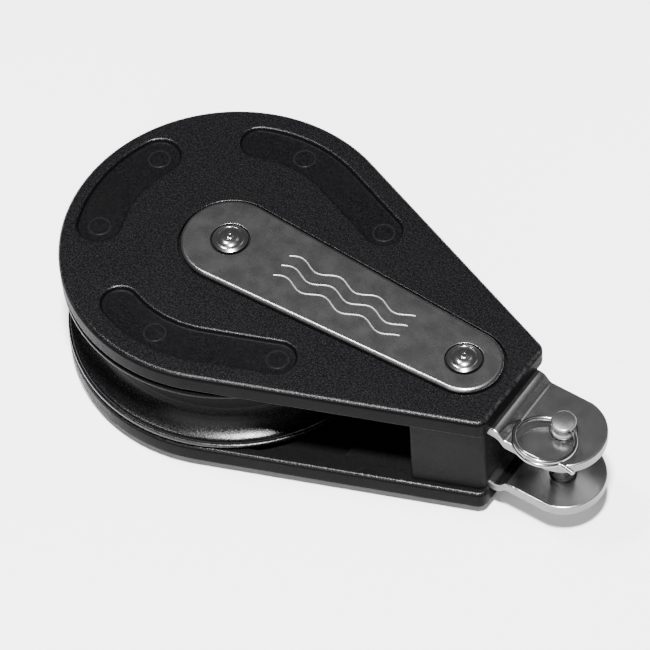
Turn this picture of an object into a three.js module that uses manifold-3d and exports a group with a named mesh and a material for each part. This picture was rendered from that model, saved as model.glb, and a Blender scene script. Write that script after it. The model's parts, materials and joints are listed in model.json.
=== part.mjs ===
// Single sheave block: a grooved rope wheel between two moulded cheeks, riveted together,
// with a fork of two joggled plates, a clevis pin and a split ring at the nose.
// Millimetres, +Z up. The block lies on its side: the axle stands along Z at x = 0, y = 0,
// the fork points along +X, and z = 0 is the flat centre of the lower rivet heads.
import * as THREE from 'three';
import { mergeVertices } from 'three/addons/utils/BufferGeometryUtils.js';
import Module from 'manifold-3d';

const wasm = await Module();
wasm.setup();

// Gaps
const FIT = 0.05; // between faces that sit still against each other
const SLIP = 0.12; // round a rivet or sleeve that stands still in its hole
const RUN = 0.15; // round a shaft that turns

// Overall layout, heights measured from the block's middle plane
const PITCH = 66.5; // axle to tail rivet
const PIN_X = 93.8; // axle to clevis pin
const HALF_BODY = 16.9; // middle plane to a cheek's outer face
const RIM_HEIGHT = 5.6; // height of a cheek's edge
const HALF_GAP = HALF_BODY - RIM_HEIGHT; // middle plane to a cheek's inner edge

// Cheek
const CHEEK_R = 41.3;
const NOSE_X = 80.2;
const NOSE_HALF_WIDTH = 13.5;
const NOSE_CORNER_R = 2.8;
const CHEEK_EDGE_R = 1;
const RIM_WALL = 2.4;
const WELL_X = 46; // where the hollow inside a cheek ends
const WELL_DEPTH = 2;
const BOSS_R = 12.5;
const POCKET_DEPTH = 1.1;
const POCKET_CORNER_STEPS = 6;
const ROUND_POCKET_R = 32.3;
const ROUND_POCKET_HALF = 5.3;
const ROUND_POCKET_ANGLE = 22.5;
const SIDE_POCKET_R = 31.3;
const SIDE_POCKET_HALF = 4.5;
const SIDE_POCKET_ANGLE = 112;
const SIDE_POCKET_X = 29;

// Side plate
const PLATE_AXLE_R = 12.1;
const PLATE_TAIL_R = 9.2;
const PLATE_TAIL_X = PITCH + 0.3;
const PLATE_THICK = 2;
const PLATE_PROUD = 0.9;
const PLATE_EDGE = 0.4;
const PLATE_TOP = HALF_BODY + PLATE_PROUD;
const PLATE_FLOOR = PLATE_TOP - PLATE_THICK;
const PLATE_MARGIN = 0.35; // groove left round the plate in its recess
const SEAT_DEPTH = 0.6;
const AXLE_SEAT_R = 4.9;
const TAIL_SEAT_R = 5.1;

// Rivets and sleeves
const RIVET_R = 2.9;
const AXLE_HEAD_R = 4.3;
const TAIL_HEAD_R = 4.15;
const HEAD_HEIGHT = 2.3; // above the seat
const PIP_R = 1.2; // flat centre of a head
const SLEEVE_IN_R = RIVET_R + SLIP;
const AXLE_SLEEVE_R = 4.9;
const TAIL_SLEEVE_R = 4.4;

// Sheave, bush and thrust washers
const SHEAVE_R = 41.2;
const SHEAVE_HALF = 10.6;
const LIP_HALF = 9.4;
const GROOVE_DEPTH = 7.5;
const GROOVE_STEPS = 12;
const FLANGE_EDGE = 0.6;
const RIM_IN_R = 29;
const WEB_HALF = 7;
const HUB_R = 13;
const HUB_HALF = 10.2;
const WEB_SLOPE = 1;
const BUSH_IN_R = AXLE_SLEEVE_R + RUN;
const BUSH_OUT_R = 7.1;
const WASHER_OUT_R = 9;
const WASHER_LOW = 10.4;

// Fork plates
const TANG_THICK = 2.8;
const TANG_OUT = 12.1; // outer face inside the nose
const EAR_OUT = 9.8; // outer face of the flat ear
const TANG_HALF_WIDTH = 10.3;
const EAR_R = 10.4;
const TANG_BACK_X = 59.2;
const TANG_BACK_CORNER = 3;
const JOGGLE_START_X = 80.9;
const JOGGLE_END_X = 84.4;
const JOGGLE_STEPS = 8;

// Spacer between the cheeks at the nose
const SPACER_INSET = 1.7;
const SPACER_NOSE_X = NOSE_X - 0.8;
const SPACER_BACK_X = 58;
const SPACER_BACK_CORNER_X = 62.7;
const SPACER_BACK_STEPS = 8;

// Clevis pin and split ring
const PIN_R = 3;
const PIN_TOP = 13.5;
const PIN_CHAMFER = 0.5;
const PIN_HEAD_R = 4.7;
const PIN_HEAD_THICK = 1.6;
const PIN_END_PLAY = 0.3;
const HOLE_R = 1.05;
const HOLE_Z = 11.8;
const RING_R = 7.2; // to the middle of the wire
const WIRE_R = 0.55;
const RING_PITCH = 1.25; // rise of the wire in one turn
const RING_START = -180;
const RING_END = 333;
const RING_BEND_R = 1.4; // bend of the lower end
const RING_BEND = 64;
const RING_STUB = 3.2; // straight end past the bend
const RING_TILT = 9;
const RING_TURN = -8; // how far the pin is turned about its own axis, hole and ring with it
const RING_STEPS = 96;
const WIRE_SIDES = 8;

// Roundness of the facets
const OUTLINE_STEPS = 40;
const CORNER_STEPS = 4;
const ROUND_SIDES = 24;
const SHEAVE_SIDES = 56;

const RAD = Math.PI / 180;
const MIDDLE_Z = PLATE_TOP - SEAT_DEPTH + HEAD_HEIGHT;

// ---- helpers ----

// One closed shell: shared corners, no slivers, faces outward.
function closed(source) {
  const bare = source.index ? source.toNonIndexed() : source.clone();
  bare.deleteAttribute('normal');
  bare.deleteAttribute('uv');
  const merged = mergeVertices(bare, 1e-4);
  const p = merged.attributes.position;
  const kept = [];
  let volume = 0;
  for (let i = 0; i < merged.index.count; i += 3) {
    const [a, b, c] = [0, 1, 2].map((k) => merged.index.getX(i + k));
    if (a === b || b === c || c === a) continue;
    kept.push(a, b, c);
    const [u, v, w] = [a, b, c].map((k) => new THREE.Vector3().fromBufferAttribute(p, k));
    volume += u.dot(v.cross(w));
  }
  if (volume < 0) kept.reverse();
  merged.setIndex(kept);
  return merged;
}

function solid(source) {
  const g = closed(source);
  const vertProperties = new Float32Array(g.attributes.position.array);
  const triVerts = new Uint32Array(g.index.array);
  return new wasm.Manifold(new wasm.Mesh({ numProp: 3, vertProperties, triVerts }));
}

function surface(body) {
  const mesh = body.getMesh();
  const g = new THREE.BufferGeometry();
  const corners = new Float32Array(mesh.vertProperties);
  g.setAttribute('position', new THREE.BufferAttribute(corners, 3));
  g.setIndex(Array.from(mesh.triVerts));
  return g;
}

function cut(base, ...tools) {
  return tools.reduce((body, tool) => body.subtract(solid(tool)), solid(base));
}

function arc(x, y, r, from, to, steps) {
  const points = [];
  for (let i = 0; i <= steps; i += 1) {
    const a = from + ((to - from) * i) / steps;
    points.push(new THREE.Vector2(x + r * Math.cos(a), y + r * Math.sin(a)));
  }
  return points;
}

function slab(points, low, high, edge = 0, edgeSegments = 2) {
  const g = new THREE.ExtrudeGeometry(new THREE.Shape(points), {
    depth: high - low - 2 * edge,
    bevelEnabled: edge > 0,
    bevelThickness: edge,
    bevelSize: edge,
    bevelOffset: -edge,
    bevelSegments: edgeSegments,
    curveSegments: 1,
  });
  return g.translate(0, 0, low + edge);
}

function drum(x, y, r, low, high, sides = ROUND_SIDES) {
  return slab(arc(x, y, r, 0, 2 * Math.PI, sides).slice(0, sides), low, high);
}

function box(x0, x1, y0, y1, z0, z1) {
  const g = new THREE.BoxGeometry(x1 - x0, y1 - y0, z1 - z0);
  return g.translate((x0 + x1) / 2, (y0 + y1) / 2, (z0 + z1) / 2);
}

function turned(profile, sides = ROUND_SIDES) {
  const points = profile.map(([r, z]) => new THREE.Vector2(r, z));
  return new THREE.LatheGeometry(points, sides).rotateX(Math.PI / 2);
}

function tube(inner, outer, low, high) {
  const loop = [[inner, low], [outer, low], [outer, high], [inner, high], [inner, low]];
  return turned(loop);
}

// Angle from the nose direction to where the straight flank leaves the round end.
function flankAngle(r, length, halfWidth) {
  return Math.atan2(halfWidth, length) + Math.acos(r / Math.hypot(length, halfWidth));
}

const FLANK = flankAngle(CHEEK_R, NOSE_X, NOSE_HALF_WIDTH);

// Half width of the teardrop of round-end radius r at position x along a flank.
function flankY(r, x) {
  return (r - x * Math.cos(FLANK)) / Math.sin(FLANK);
}

function teardrop(r, noseX, cornerR) {
  const cx = noseX - cornerR;
  const cy = flankY(r - cornerR, cx);
  return [
    ...arc(0, 0, r, FLANK, 2 * Math.PI - FLANK, OUTLINE_STEPS),
    ...arc(cx, -cy, cornerR, -FLANK, 0, CORNER_STEPS),
    ...arc(cx, cy, cornerR, 0, FLANK, CORNER_STEPS),
  ];
}

// Stadium round two circles of different radius on the X axis.
function taperedStadium(r0, r1, x1) {
  const lean = Math.acos((r0 - r1) / x1);
  return [
    ...arc(0, 0, r0, lean, 2 * Math.PI - lean, OUTLINE_STEPS / 2),
    ...arc(x1, 0, r1, -lean, lean, OUTLINE_STEPS / 2 - 4),
  ];
}

// Outline of a slot with round ends whose middle runs along a path.
function slot(path, half) {
  const side = (i) => {
    const a = path[Math.max(i - 1, 0)];
    const b = path[Math.min(i + 1, path.length - 1)];
    const d = b.clone().sub(a).normalize();
    return new THREE.Vector2(-d.y, d.x).multiplyScalar(half);
  };
  const last = path.length - 1;
  const left = path.map((q, i) => q.clone().add(side(i)));
  const right = path.map((q, i) => q.clone().sub(side(i))).reverse();
  const turn = side(last).angle();
  const back = side(0).angle();
  const n = POCKET_CORNER_STEPS;
  const far = arc(path[last].x, path[last].y, half, turn, turn - Math.PI, n).slice(1, n);
  const near = arc(path[0].x, path[0].y, half, back + Math.PI, back, n).slice(1, n);
  return [...left, ...far, ...right, ...near].reverse();
}

// ---- cheek, drawn for the upper side ----

function upperCheek() {
  const body = slab(teardrop(CHEEK_R, NOSE_X, NOSE_CORNER_R), HALF_GAP, HALF_BODY, CHEEK_EDGE_R);
  const over = HALF_BODY + 1;
  const under = HALF_GAP - 1;
  const recess = slab(
    taperedStadium(PLATE_AXLE_R + PLATE_MARGIN, PLATE_TAIL_R + PLATE_MARGIN, PLATE_TAIL_X),
    PLATE_FLOOR - FIT,
    over,
  );
  const wellR = CHEEK_R - RIM_WALL;
  const wellY = flankY(wellR, WELL_X);
  const wellOutline = [
    ...arc(0, 0, wellR, FLANK, 2 * Math.PI - FLANK, OUTLINE_STEPS),
    new THREE.Vector2(WELL_X, -wellY),
    new THREE.Vector2(WELL_X, wellY),
  ];
  const well = solid(slab(wellOutline, under, HALF_GAP + WELL_DEPTH));
  const boss = solid(drum(0, 0, BOSS_R, under - 1, HALF_BODY, 2 * ROUND_SIDES));
  const floor = HALF_BODY - POCKET_DEPTH;
  const roundPath = arc(
    0,
    0,
    ROUND_POCKET_R,
    Math.PI - ROUND_POCKET_ANGLE * RAD,
    Math.PI + ROUND_POCKET_ANGLE * RAD,
    6,
  );
  const sideEnd = new THREE.Vector2(SIDE_POCKET_X, flankY(SIDE_POCKET_R, SIDE_POCKET_X));
  const sidePath = [
    sideEnd,
    ...arc(0, 0, SIDE_POCKET_R, FLANK, SIDE_POCKET_ANGLE * RAD, 6),
  ];
  const farPath = sidePath.map((q) => new THREE.Vector2(q.x, -q.y)).reverse();
  const pockets = [
    slab(slot(roundPath, ROUND_POCKET_HALF), floor, over),
    slab(slot(sidePath, SIDE_POCKET_HALF), floor, over),
    slab(slot(farPath, SIDE_POCKET_HALF), floor, over),
  ];
  const channelHalf = TANG_HALF_WIDTH + SLIP;
  const channelTop = TANG_OUT + FIT;
  const channel = box(TANG_BACK_X - SLIP, NOSE_X + 1, -channelHalf, channelHalf, under, channelTop);
  const bores = [
    drum(0, 0, AXLE_SLEEVE_R + SLIP, under, over),
    drum(PITCH, 0, RIVET_R + SLIP, under, over),
  ];
  return surface(cut(body, recess, ...pockets, channel, ...bores).subtract(well.subtract(boss)));
}

// ---- side plate ----

function upperPlate() {
  const outline = taperedStadium(PLATE_AXLE_R, PLATE_TAIL_R, PLATE_TAIL_X);
  const seat = PLATE_TOP - SEAT_DEPTH;
  return surface(cut(
    slab(outline, PLATE_FLOOR, PLATE_TOP, PLATE_EDGE, 1),
    drum(0, 0, RIVET_R + SLIP, 0, 2 * PLATE_TOP),
    drum(PITCH, 0, RIVET_R + SLIP, 0, 2 * PLATE_TOP),
    drum(0, 0, AXLE_SEAT_R, seat, 2 * PLATE_TOP),
    drum(PITCH, 0, TAIL_SEAT_R, seat, 2 * PLATE_TOP),
  ));
}

// ---- fork plate: straight in the nose, joggled inward, then a flat round ear ----

function upperTang() {
  const drop = TANG_OUT - EAR_OUT;
  const middle = TANG_OUT - TANG_THICK / 2;
  const spine = [new THREE.Vector2(TANG_BACK_X, middle)];
  for (let i = 0; i <= JOGGLE_STEPS; i += 1) {
    const t = i / JOGGLE_STEPS;
    const x = JOGGLE_START_X + t * (JOGGLE_END_X - JOGGLE_START_X);
    spine.push(new THREE.Vector2(x, middle - (drop * (1 - Math.cos(Math.PI * t))) / 2));
  }
  const endX = PIN_X + EAR_R;
  spine.push(new THREE.Vector2(endX + 1, middle - drop));
  const normal = (i) => {
    if (i < 2 || i > spine.length - 3) return new THREE.Vector2(0, TANG_THICK / 2);
    const d = spine[i + 1].clone().sub(spine[i - 1]).normalize();
    return new THREE.Vector2(-d.y, d.x).multiplyScalar(TANG_THICK / 2);
  };
  const top = spine.map((q, i) => q.clone().add(normal(i)));
  const bottom = spine.map((q, i) => q.clone().sub(normal(i))).reverse();
  const strip = slab([...bottom, ...top], -2 * EAR_R, 2 * EAR_R).rotateX(Math.PI / 2);
  const w = TANG_HALF_WIDTH;
  const c = TANG_BACK_CORNER;
  const b = TANG_BACK_X;
  const lean = Math.asin(w / EAR_R);
  const plan = [
    ...arc(PIN_X, 0, EAR_R, -lean, lean, 20),
    ...arc(b + c, w - c, c, Math.PI / 2, Math.PI, CORNER_STEPS),
    ...arc(b + c, c - w, c, Math.PI, 1.5 * Math.PI, CORNER_STEPS),
  ];
  const shape = solid(slab(plan, 0, HALF_BODY));
  const holes = [
    drum(PITCH, 0, RIVET_R + SLIP, 0, HALF_BODY),
    drum(PIN_X, 0, PIN_R + RUN, 0, HALF_BODY),
  ];
  const body = solid(strip).intersect(shape);
  return surface(holes.reduce((left, hole) => left.subtract(solid(hole)), body));
}

// ---- sheave ----

function sheave() {
  const grooveR = (LIP_HALF ** 2 + GROOVE_DEPTH ** 2) / (2 * GROOVE_DEPTH);
  const reach = Math.asin(LIP_HALF / grooveR);
  const centre = SHEAVE_R - GROOVE_DEPTH + grooveR;
  const groove = [];
  for (let i = 0; i <= GROOVE_STEPS; i += 1) {
    const a = reach - (2 * reach * i) / GROOVE_STEPS;
    groove.push([centre - grooveR * Math.cos(a), grooveR * Math.sin(a)]);
  }
  const half = [
    [BUSH_OUT_R + FIT, HUB_HALF],
    [HUB_R, HUB_HALF],
    [HUB_R + WEB_SLOPE, WEB_HALF],
    [RIM_IN_R - WEB_SLOPE, WEB_HALF],
    [RIM_IN_R, SHEAVE_HALF],
    [SHEAVE_R - FLANGE_EDGE, SHEAVE_HALF],
    [SHEAVE_R, SHEAVE_HALF - FLANGE_EDGE],
  ];
  const other = half.map(([r, z]) => [r, -z]).reverse();
  return turned([...half, ...groove, ...other, half[0]], SHEAVE_SIDES);
}

// ---- rivet with the same stepped head at both ends ----

function rivet(headR) {
  const seat = PLATE_TOP - SEAT_DEPTH + FIT;
  const top = PLATE_TOP - SEAT_DEPTH + HEAD_HEIGHT;
  const half = [
    [RIVET_R, seat],
    [headR, seat],
    [headR, seat + 0.45],
    [headR * 0.93, seat + 0.85],
    [headR * 0.7, seat + 1.3],
    [headR * 0.66, seat + 1.35],
    [headR * 0.52, seat + 1.75],
    [PIP_R + 0.35, seat + 1.95],
    [PIP_R, top],
    [0, top],
  ];
  const other = half.map(([r, z]) => [r, -z]).reverse();
  return turned([...other, ...half]);
}

// ---- spacer ----

function spacer() {
  const r = CHEEK_R - SPACER_INSET;
  const corner = NOSE_CORNER_R;
  const cx = SPACER_NOSE_X - corner;
  const cy = flankY(r - corner, cx);
  const backY = flankY(r, SPACER_BACK_CORNER_X);
  const back = [];
  for (let i = 0; i <= SPACER_BACK_STEPS; i += 1) {
    const t = 1 - (2 * i) / SPACER_BACK_STEPS;
    const x = SPACER_BACK_X + (SPACER_BACK_CORNER_X - SPACER_BACK_X) * t * t;
    back.push(new THREE.Vector2(x, backY * t));
  }
  const outline = [
    ...back,
    ...arc(cx, -cy, corner, -FLANK, 0, CORNER_STEPS),
    ...arc(cx, cy, corner, 0, FLANK, CORNER_STEPS),
  ];
  const top = HALF_GAP - FIT;
  const w = TANG_HALF_WIDTH + SLIP;
  const low = TANG_OUT - TANG_THICK - FIT;
  const start = TANG_BACK_X - SLIP;
  return surface(cut(
    slab(outline, -top, top),
    box(start, NOSE_X, -w, w, low, TANG_OUT),
    box(start, NOSE_X, -w, w, -TANG_OUT, -low),
    drum(PITCH, 0, TAIL_SLEEVE_R + SLIP, -TANG_OUT, TANG_OUT),
  ));
}

// ---- clevis pin: head below, cross hole near the top ----

function clevisPin() {
  const under = -EAR_OUT - PIN_END_PLAY;
  const low = under - PIN_HEAD_THICK;
  const shank = turned([
    [0, low],
    [PIN_HEAD_R - PIN_CHAMFER, low],
    [PIN_HEAD_R, low + PIN_CHAMFER],
    [PIN_HEAD_R, under],
    [PIN_R, under],
    [PIN_R, PIN_TOP - PIN_CHAMFER],
    [PIN_R - PIN_CHAMFER, PIN_TOP],
    [0, PIN_TOP],
  ], 2 * ROUND_SIDES);
  const drill = drum(0, 0, HOLE_R, -2 * PIN_R, 2 * PIN_R, 16).rotateY(Math.PI / 2);
  return surface(cut(shank, drill.translate(0, 0, HOLE_Z))).rotateZ(RING_TURN * RAD).translate(PIN_X, 0, 0);
}

// ---- split ring: about one and a half turns of wire, its lower end bent outward ----

function splitRing() {
  const chord = Math.sqrt(RING_R ** 2 - PIN_R ** 2);
  const offset = (RING_R + chord) / 2; // ring centre to the middle of the cross hole
  const points = [];
  const rise = (a) => (RING_PITCH * (90 - a)) / 360;
  for (let a = RING_START; a <= RING_END; a += 9) {
    points.push(new THREE.Vector3(RING_R * Math.cos(a * RAD), RING_R * Math.sin(a * RAD) - offset, rise(a)));
  }
  const end = RING_END * RAD;
  const centre = new THREE.Vector3(
    (RING_R + RING_BEND_R) * Math.cos(end),
    (RING_R + RING_BEND_R) * Math.sin(end) - offset,
    rise(RING_END),
  );
  for (let i = 1; i <= 4; i += 1) {
    const a = end + Math.PI - (RING_BEND * RAD * i) / 4;
    points.push(new THREE.Vector3(RING_BEND_R * Math.cos(a), RING_BEND_R * Math.sin(a), 0).add(centre));
  }
  const along = end + Math.PI / 2 - RING_BEND * RAD;
  for (let i = 1; i <= 3; i += 1) {
    const step = new THREE.Vector3(Math.cos(along), Math.sin(along), 0).multiplyScalar(RING_STUB / 3);
    points.push(points[points.length - 1].clone().add(step));
  }
  const path = new THREE.CatmullRomCurve3(points);
  const wire = new THREE.Shape(arc(0, 0, WIRE_R, 0, 2 * Math.PI, WIRE_SIDES).slice(0, WIRE_SIDES));
  const g = new THREE.ExtrudeGeometry(wire, { steps: RING_STEPS, extrudePath: path });
  return g.rotateX(-RING_TILT * RAD).rotateZ(RING_TURN * RAD).translate(PIN_X, 0, HOLE_Z);
}

// ---- assembly ----

const blackNylon = { color: 0x1c1c1e, roughness: 0.62, metalness: 0 };
const blackAcetal = { color: 0x161618, roughness: 0.45, metalness: 0 };
const whitePolymer = { color: 0xd8d5cc, roughness: 0.5, metalness: 0 };
const stainless = { color: 0x9a9c9f, roughness: 0.35, metalness: 1 };
const polished = { color: 0xa6a8ab, roughness: 0.16, metalness: 1 };

const block = new THREE.Group();

function add(name, geometry, finish, flipped = false) {
  const mesh = new THREE.Mesh(closed(geometry), new THREE.MeshStandardMaterial(finish));
  mesh.name = name;
  mesh.geometry.computeVertexNormals();
  if (flipped) mesh.rotation.x = Math.PI;
  mesh.position.z = MIDDLE_Z;
  block.add(mesh);
}

add('upper_cheek', upperCheek(), blackNylon);
add('lower_cheek', upperCheek(), blackNylon, true);
add('upper_side_plate', upperPlate(), stainless);
add('lower_side_plate', upperPlate(), stainless, true);
add('upper_tang', upperTang(), polished);
add('lower_tang', upperTang(), polished, true);

add('sheave', sheave(), blackAcetal);
add('sheave_bush', tube(BUSH_IN_R, BUSH_OUT_R, -HUB_HALF, HUB_HALF), whitePolymer);
const washer = tube(AXLE_SLEEVE_R + SLIP, WASHER_OUT_R, WASHER_LOW, HALF_GAP - FIT);
add('upper_thrust_washer', washer, whitePolymer);
add('lower_thrust_washer', washer, whitePolymer, true);

const sleeveTop = PLATE_FLOOR - FIT;
add('axle_sleeve', tube(SLEEVE_IN_R, AXLE_SLEEVE_R, -sleeveTop, sleeveTop), stainless);
add('axle_rivet', rivet(AXLE_HEAD_R), stainless);

add('tail_spacer', spacer(), blackNylon);
const tailTop = TANG_OUT - TANG_THICK - FIT;
const tailSleeve = tube(SLEEVE_IN_R, TAIL_SLEEVE_R, -tailTop, tailTop).translate(PITCH, 0, 0);
add('tail_sleeve', tailSleeve, stainless);
add('tail_rivet', rivet(TAIL_HEAD_R).translate(PITCH, 0, 0), stainless);

add('clevis_pin', clevisPin(), polished);
add('split_ring', splitRing(), polished);

export default block;
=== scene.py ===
"""Looks of the single sheave block: every visible piece is a fine mesh built from the CAD frame's sizes."""
import json
import math

import bmesh
import bpy
from mathutils import Matrix, Vector


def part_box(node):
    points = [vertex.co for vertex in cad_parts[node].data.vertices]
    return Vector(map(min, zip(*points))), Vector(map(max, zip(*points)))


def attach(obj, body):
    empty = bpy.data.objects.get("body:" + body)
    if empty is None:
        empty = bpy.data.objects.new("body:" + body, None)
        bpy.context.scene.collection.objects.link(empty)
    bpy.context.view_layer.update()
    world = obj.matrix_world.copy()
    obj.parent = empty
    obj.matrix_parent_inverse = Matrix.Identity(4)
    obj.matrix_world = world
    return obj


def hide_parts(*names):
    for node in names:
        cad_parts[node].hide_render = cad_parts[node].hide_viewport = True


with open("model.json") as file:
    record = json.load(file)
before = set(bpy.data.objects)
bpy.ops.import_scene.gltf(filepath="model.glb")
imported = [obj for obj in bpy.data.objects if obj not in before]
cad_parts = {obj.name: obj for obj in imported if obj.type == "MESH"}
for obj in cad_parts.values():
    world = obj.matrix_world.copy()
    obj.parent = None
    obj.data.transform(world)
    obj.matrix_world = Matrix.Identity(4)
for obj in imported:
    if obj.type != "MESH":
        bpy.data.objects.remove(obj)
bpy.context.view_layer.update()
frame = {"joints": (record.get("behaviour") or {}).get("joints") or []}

MM = 0.001
TAU = 2 * math.pi
QUARTER = math.pi / 2


# ---------------------------------------------------------------- camera, made first

AZIMUTH, ELEVATION, ROLL = map(math.radians, (37.32, 52.55, -3.94))
AIM = Vector((26.5, 0.1, 22.0)) * MM
DISTANCE = 0.9916
LENS = 229.8
SENSOR = 36


def make_camera():
    """Long lens that looks at AIM, with the whole view rolled a little."""
    level = math.cos(ELEVATION)
    back = Vector((math.sin(AZIMUTH) * level, -math.cos(AZIMUTH) * level, math.sin(ELEVATION)))
    right = Vector((0, 0, 1)).cross(back).normalized()
    up = back.cross(right)
    rolled_right = math.cos(ROLL) * right + math.sin(ROLL) * up
    rolled_up = -math.sin(ROLL) * right + math.cos(ROLL) * up
    data = bpy.data.cameras.new("camera")
    data.lens = LENS
    data.sensor_width = SENSOR
    data.clip_start = 0.01
    data.clip_end = 20
    camera = bpy.data.objects.new("camera", data)
    turn = Matrix((rolled_right, rolled_up, back)).transposed().to_4x4()
    camera.matrix_world = Matrix.Translation(AIM + back * DISTANCE) @ turn
    bpy.context.scene.collection.objects.link(camera)
    bpy.context.scene.camera = camera


make_camera()


# ---------------------------------------------------------------- sizes from the frame, in mm

def box_mm(node):
    lo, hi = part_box(node)
    return lo / MM, hi / MM


lo, hi = box_mm("upper_cheek")
CHEEK_R, NOSE_X, CHEEK_IN, CHEEK_OUT = hi.y, hi.x, lo.z, hi.z
lo, hi = box_mm("axle_rivet")
MID, HEAD_TOP, HEAD_R = (lo.z + hi.z) / 2, hi.z, hi.y
lo, hi = box_mm("upper_side_plate")
PLATE_R, PLATE_END_X, PLATE_IN, PLATE_OUT = hi.y, hi.x, lo.z, hi.z
lo, hi = box_mm("tail_rivet")
PITCH, TAIL_HEAD_R = (lo.x + hi.x) / 2, hi.y
lo, hi = box_mm("upper_tang")
TANG_BACK, TANG_END, EAR_IN, TANG_OUT, TANG_HALF = lo.x, hi.x, lo.z, hi.z, hi.y
lo, hi = box_mm("clevis_pin")
PIN_X, PIN_LOW, PIN_TOP, PIN_HEAD_R = (lo.x + hi.x) / 2, lo.z, hi.z, hi.y
lo, hi = box_mm("sheave")
SHEAVE_R, SHEAVE_HALF = hi.y, (hi.z - lo.z) / 2
lo, hi = box_mm("sheave_bush")
BUSH_R, BUSH_HALF = hi.y, (hi.z - lo.z) / 2
lo, hi = box_mm("axle_sleeve")
SLEEVE_R, SLEEVE_HALF = hi.y, (hi.z - lo.z) / 2
lo, hi = box_mm("tail_sleeve")
TAIL_SLEEVE_R, TAIL_SLEEVE_HALF = hi.y, (hi.z - lo.z) / 2
lo, hi = box_mm("upper_thrust_washer")
WASHER_R, WASHER_LOW, WASHER_HIGH = hi.y, lo.z, hi.z
lo, hi = box_mm("tail_spacer")
SPACER_BACK, SPACER_NOSE, SPACER_LOW, SPACER_HIGH = lo.x, hi.x, lo.z, hi.z
RING_JOINT = next(joint for joint in frame["joints"] if joint["name"] == "ring_swing")
HOLE_Z = RING_JOINT["pos_m"][2] / MM
PIN_TURN = math.atan2(-RING_JOINT["axis"][1], -RING_JOINT["axis"][0])

NOSE_HALF = 13.5
NOSE_CORNER = 2.8
PLATE_TAIL_R = 9.2
TANG_THICK = 2.8
pin_lo, pin_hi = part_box("clevis_pin")
EAR_R = TANG_END - (pin_lo.x + pin_hi.x) / 2 / MM
RIVET_R = 2.9
PIN_R = 3.0
SPACER_INSET = 1.7
SLIP = 0.12
FACE_GAP = 0.05
BEYOND = 3
FLANK = math.atan2(NOSE_HALF, NOSE_X) + math.acos(CHEEK_R / math.hypot(NOSE_X, NOSE_HALF))
SIDES = (("upper", False), ("lower", True))


# ---------------------------------------------------------------- outlines, as lists of (x, y)

def arc(x, y, r, a0, a1, n):
    angles = [a0 + (a1 - a0) * i / n for i in range(n + 1)]
    return [(x + r * math.cos(a), y + r * math.sin(a)) for a in angles]


def ring(x, y, r, n=48):
    return arc(x, y, r, 0, TAU, n)[:n]


def flank_y(r, x):
    """Half width at x of the straight flank that is tangent to a circle of radius r round the axle."""
    return (r - x * math.cos(FLANK)) / math.sin(FLANK)


def nose_end(r, nose, inset):
    """The two rounded corners at the nose."""
    x = nose - NOSE_CORNER
    y = flank_y(r - NOSE_CORNER, x)
    corner = NOSE_CORNER - inset
    return arc(x, -y, corner, -FLANK, 0, 10) + arc(x, y, corner, 0, FLANK, 10)


def teardrop(inset):
    """A cheek's outline."""
    return arc(0, 0, CHEEK_R - inset, FLANK, TAU - FLANK, 120) + nose_end(CHEEK_R, NOSE_X, inset)


def stadium(grow):
    """A side plate's outline: a big and a small round end with straight tangents."""
    tail_x = PLATE_END_X - PLATE_TAIL_R
    lean = math.acos((PLATE_R - PLATE_TAIL_R) / tail_x)
    big_end = arc(0, 0, PLATE_R + grow, lean, TAU - lean, 64)
    return big_end + arc(tail_x, 0, PLATE_TAIL_R + grow, -lean, lean, 48)


def slot(path, half, n=14):
    """A round-ended band along a path."""
    pts = [Vector(p) for p in path]
    last = len(pts) - 1

    def side(i):
        d = (pts[min(i + 1, last)] - pts[max(i - 1, 0)]).normalized()
        return Vector((-d.y, d.x))

    left = [tuple(p + side(i) * half) for i, p in enumerate(pts)]
    right = [tuple(p - side(i) * half) for i, p in enumerate(pts)][::-1]
    far_angle = math.atan2(side(last).y, side(last).x)
    near_angle = math.atan2(side(0).y, side(0).x)
    far = arc(pts[-1].x, pts[-1].y, half, far_angle, far_angle - math.pi, n)[1:n]
    near = arc(pts[0].x, pts[0].y, half, near_angle + math.pi, near_angle, n)[1:n]
    return left + far + right + near


def tang_channel(end):
    """The rectangle that a fork plate lies in, out through the nose."""
    half = TANG_HALF + SLIP
    start = TANG_BACK - SLIP
    return [(start, -half), (end, -half), (end, half), (start, half)]


# ---------------------------------------------------------------- rounded edges, as lists of (inset, z)

def quarter(n):
    return [QUARTER * i / n for i in range(n + 1)]


def edge_down(r, z, n):
    """From a face at z round to the wall under it."""
    return [(r * (1 - math.sin(a)), z - r * (1 - math.cos(a))) for a in quarter(n)]


def edge_up(r, z, n):
    """From a face at z round to the wall above it."""
    return [(r * (1 - math.sin(a)), z + r * (1 - math.cos(a))) for a in quarter(n)]


def fillet(r, z, n):
    """From a wall up and round to a face at z."""
    return edge_down(r, z, n)[::-1]


# ---------------------------------------------------------------- mesh builder

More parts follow.
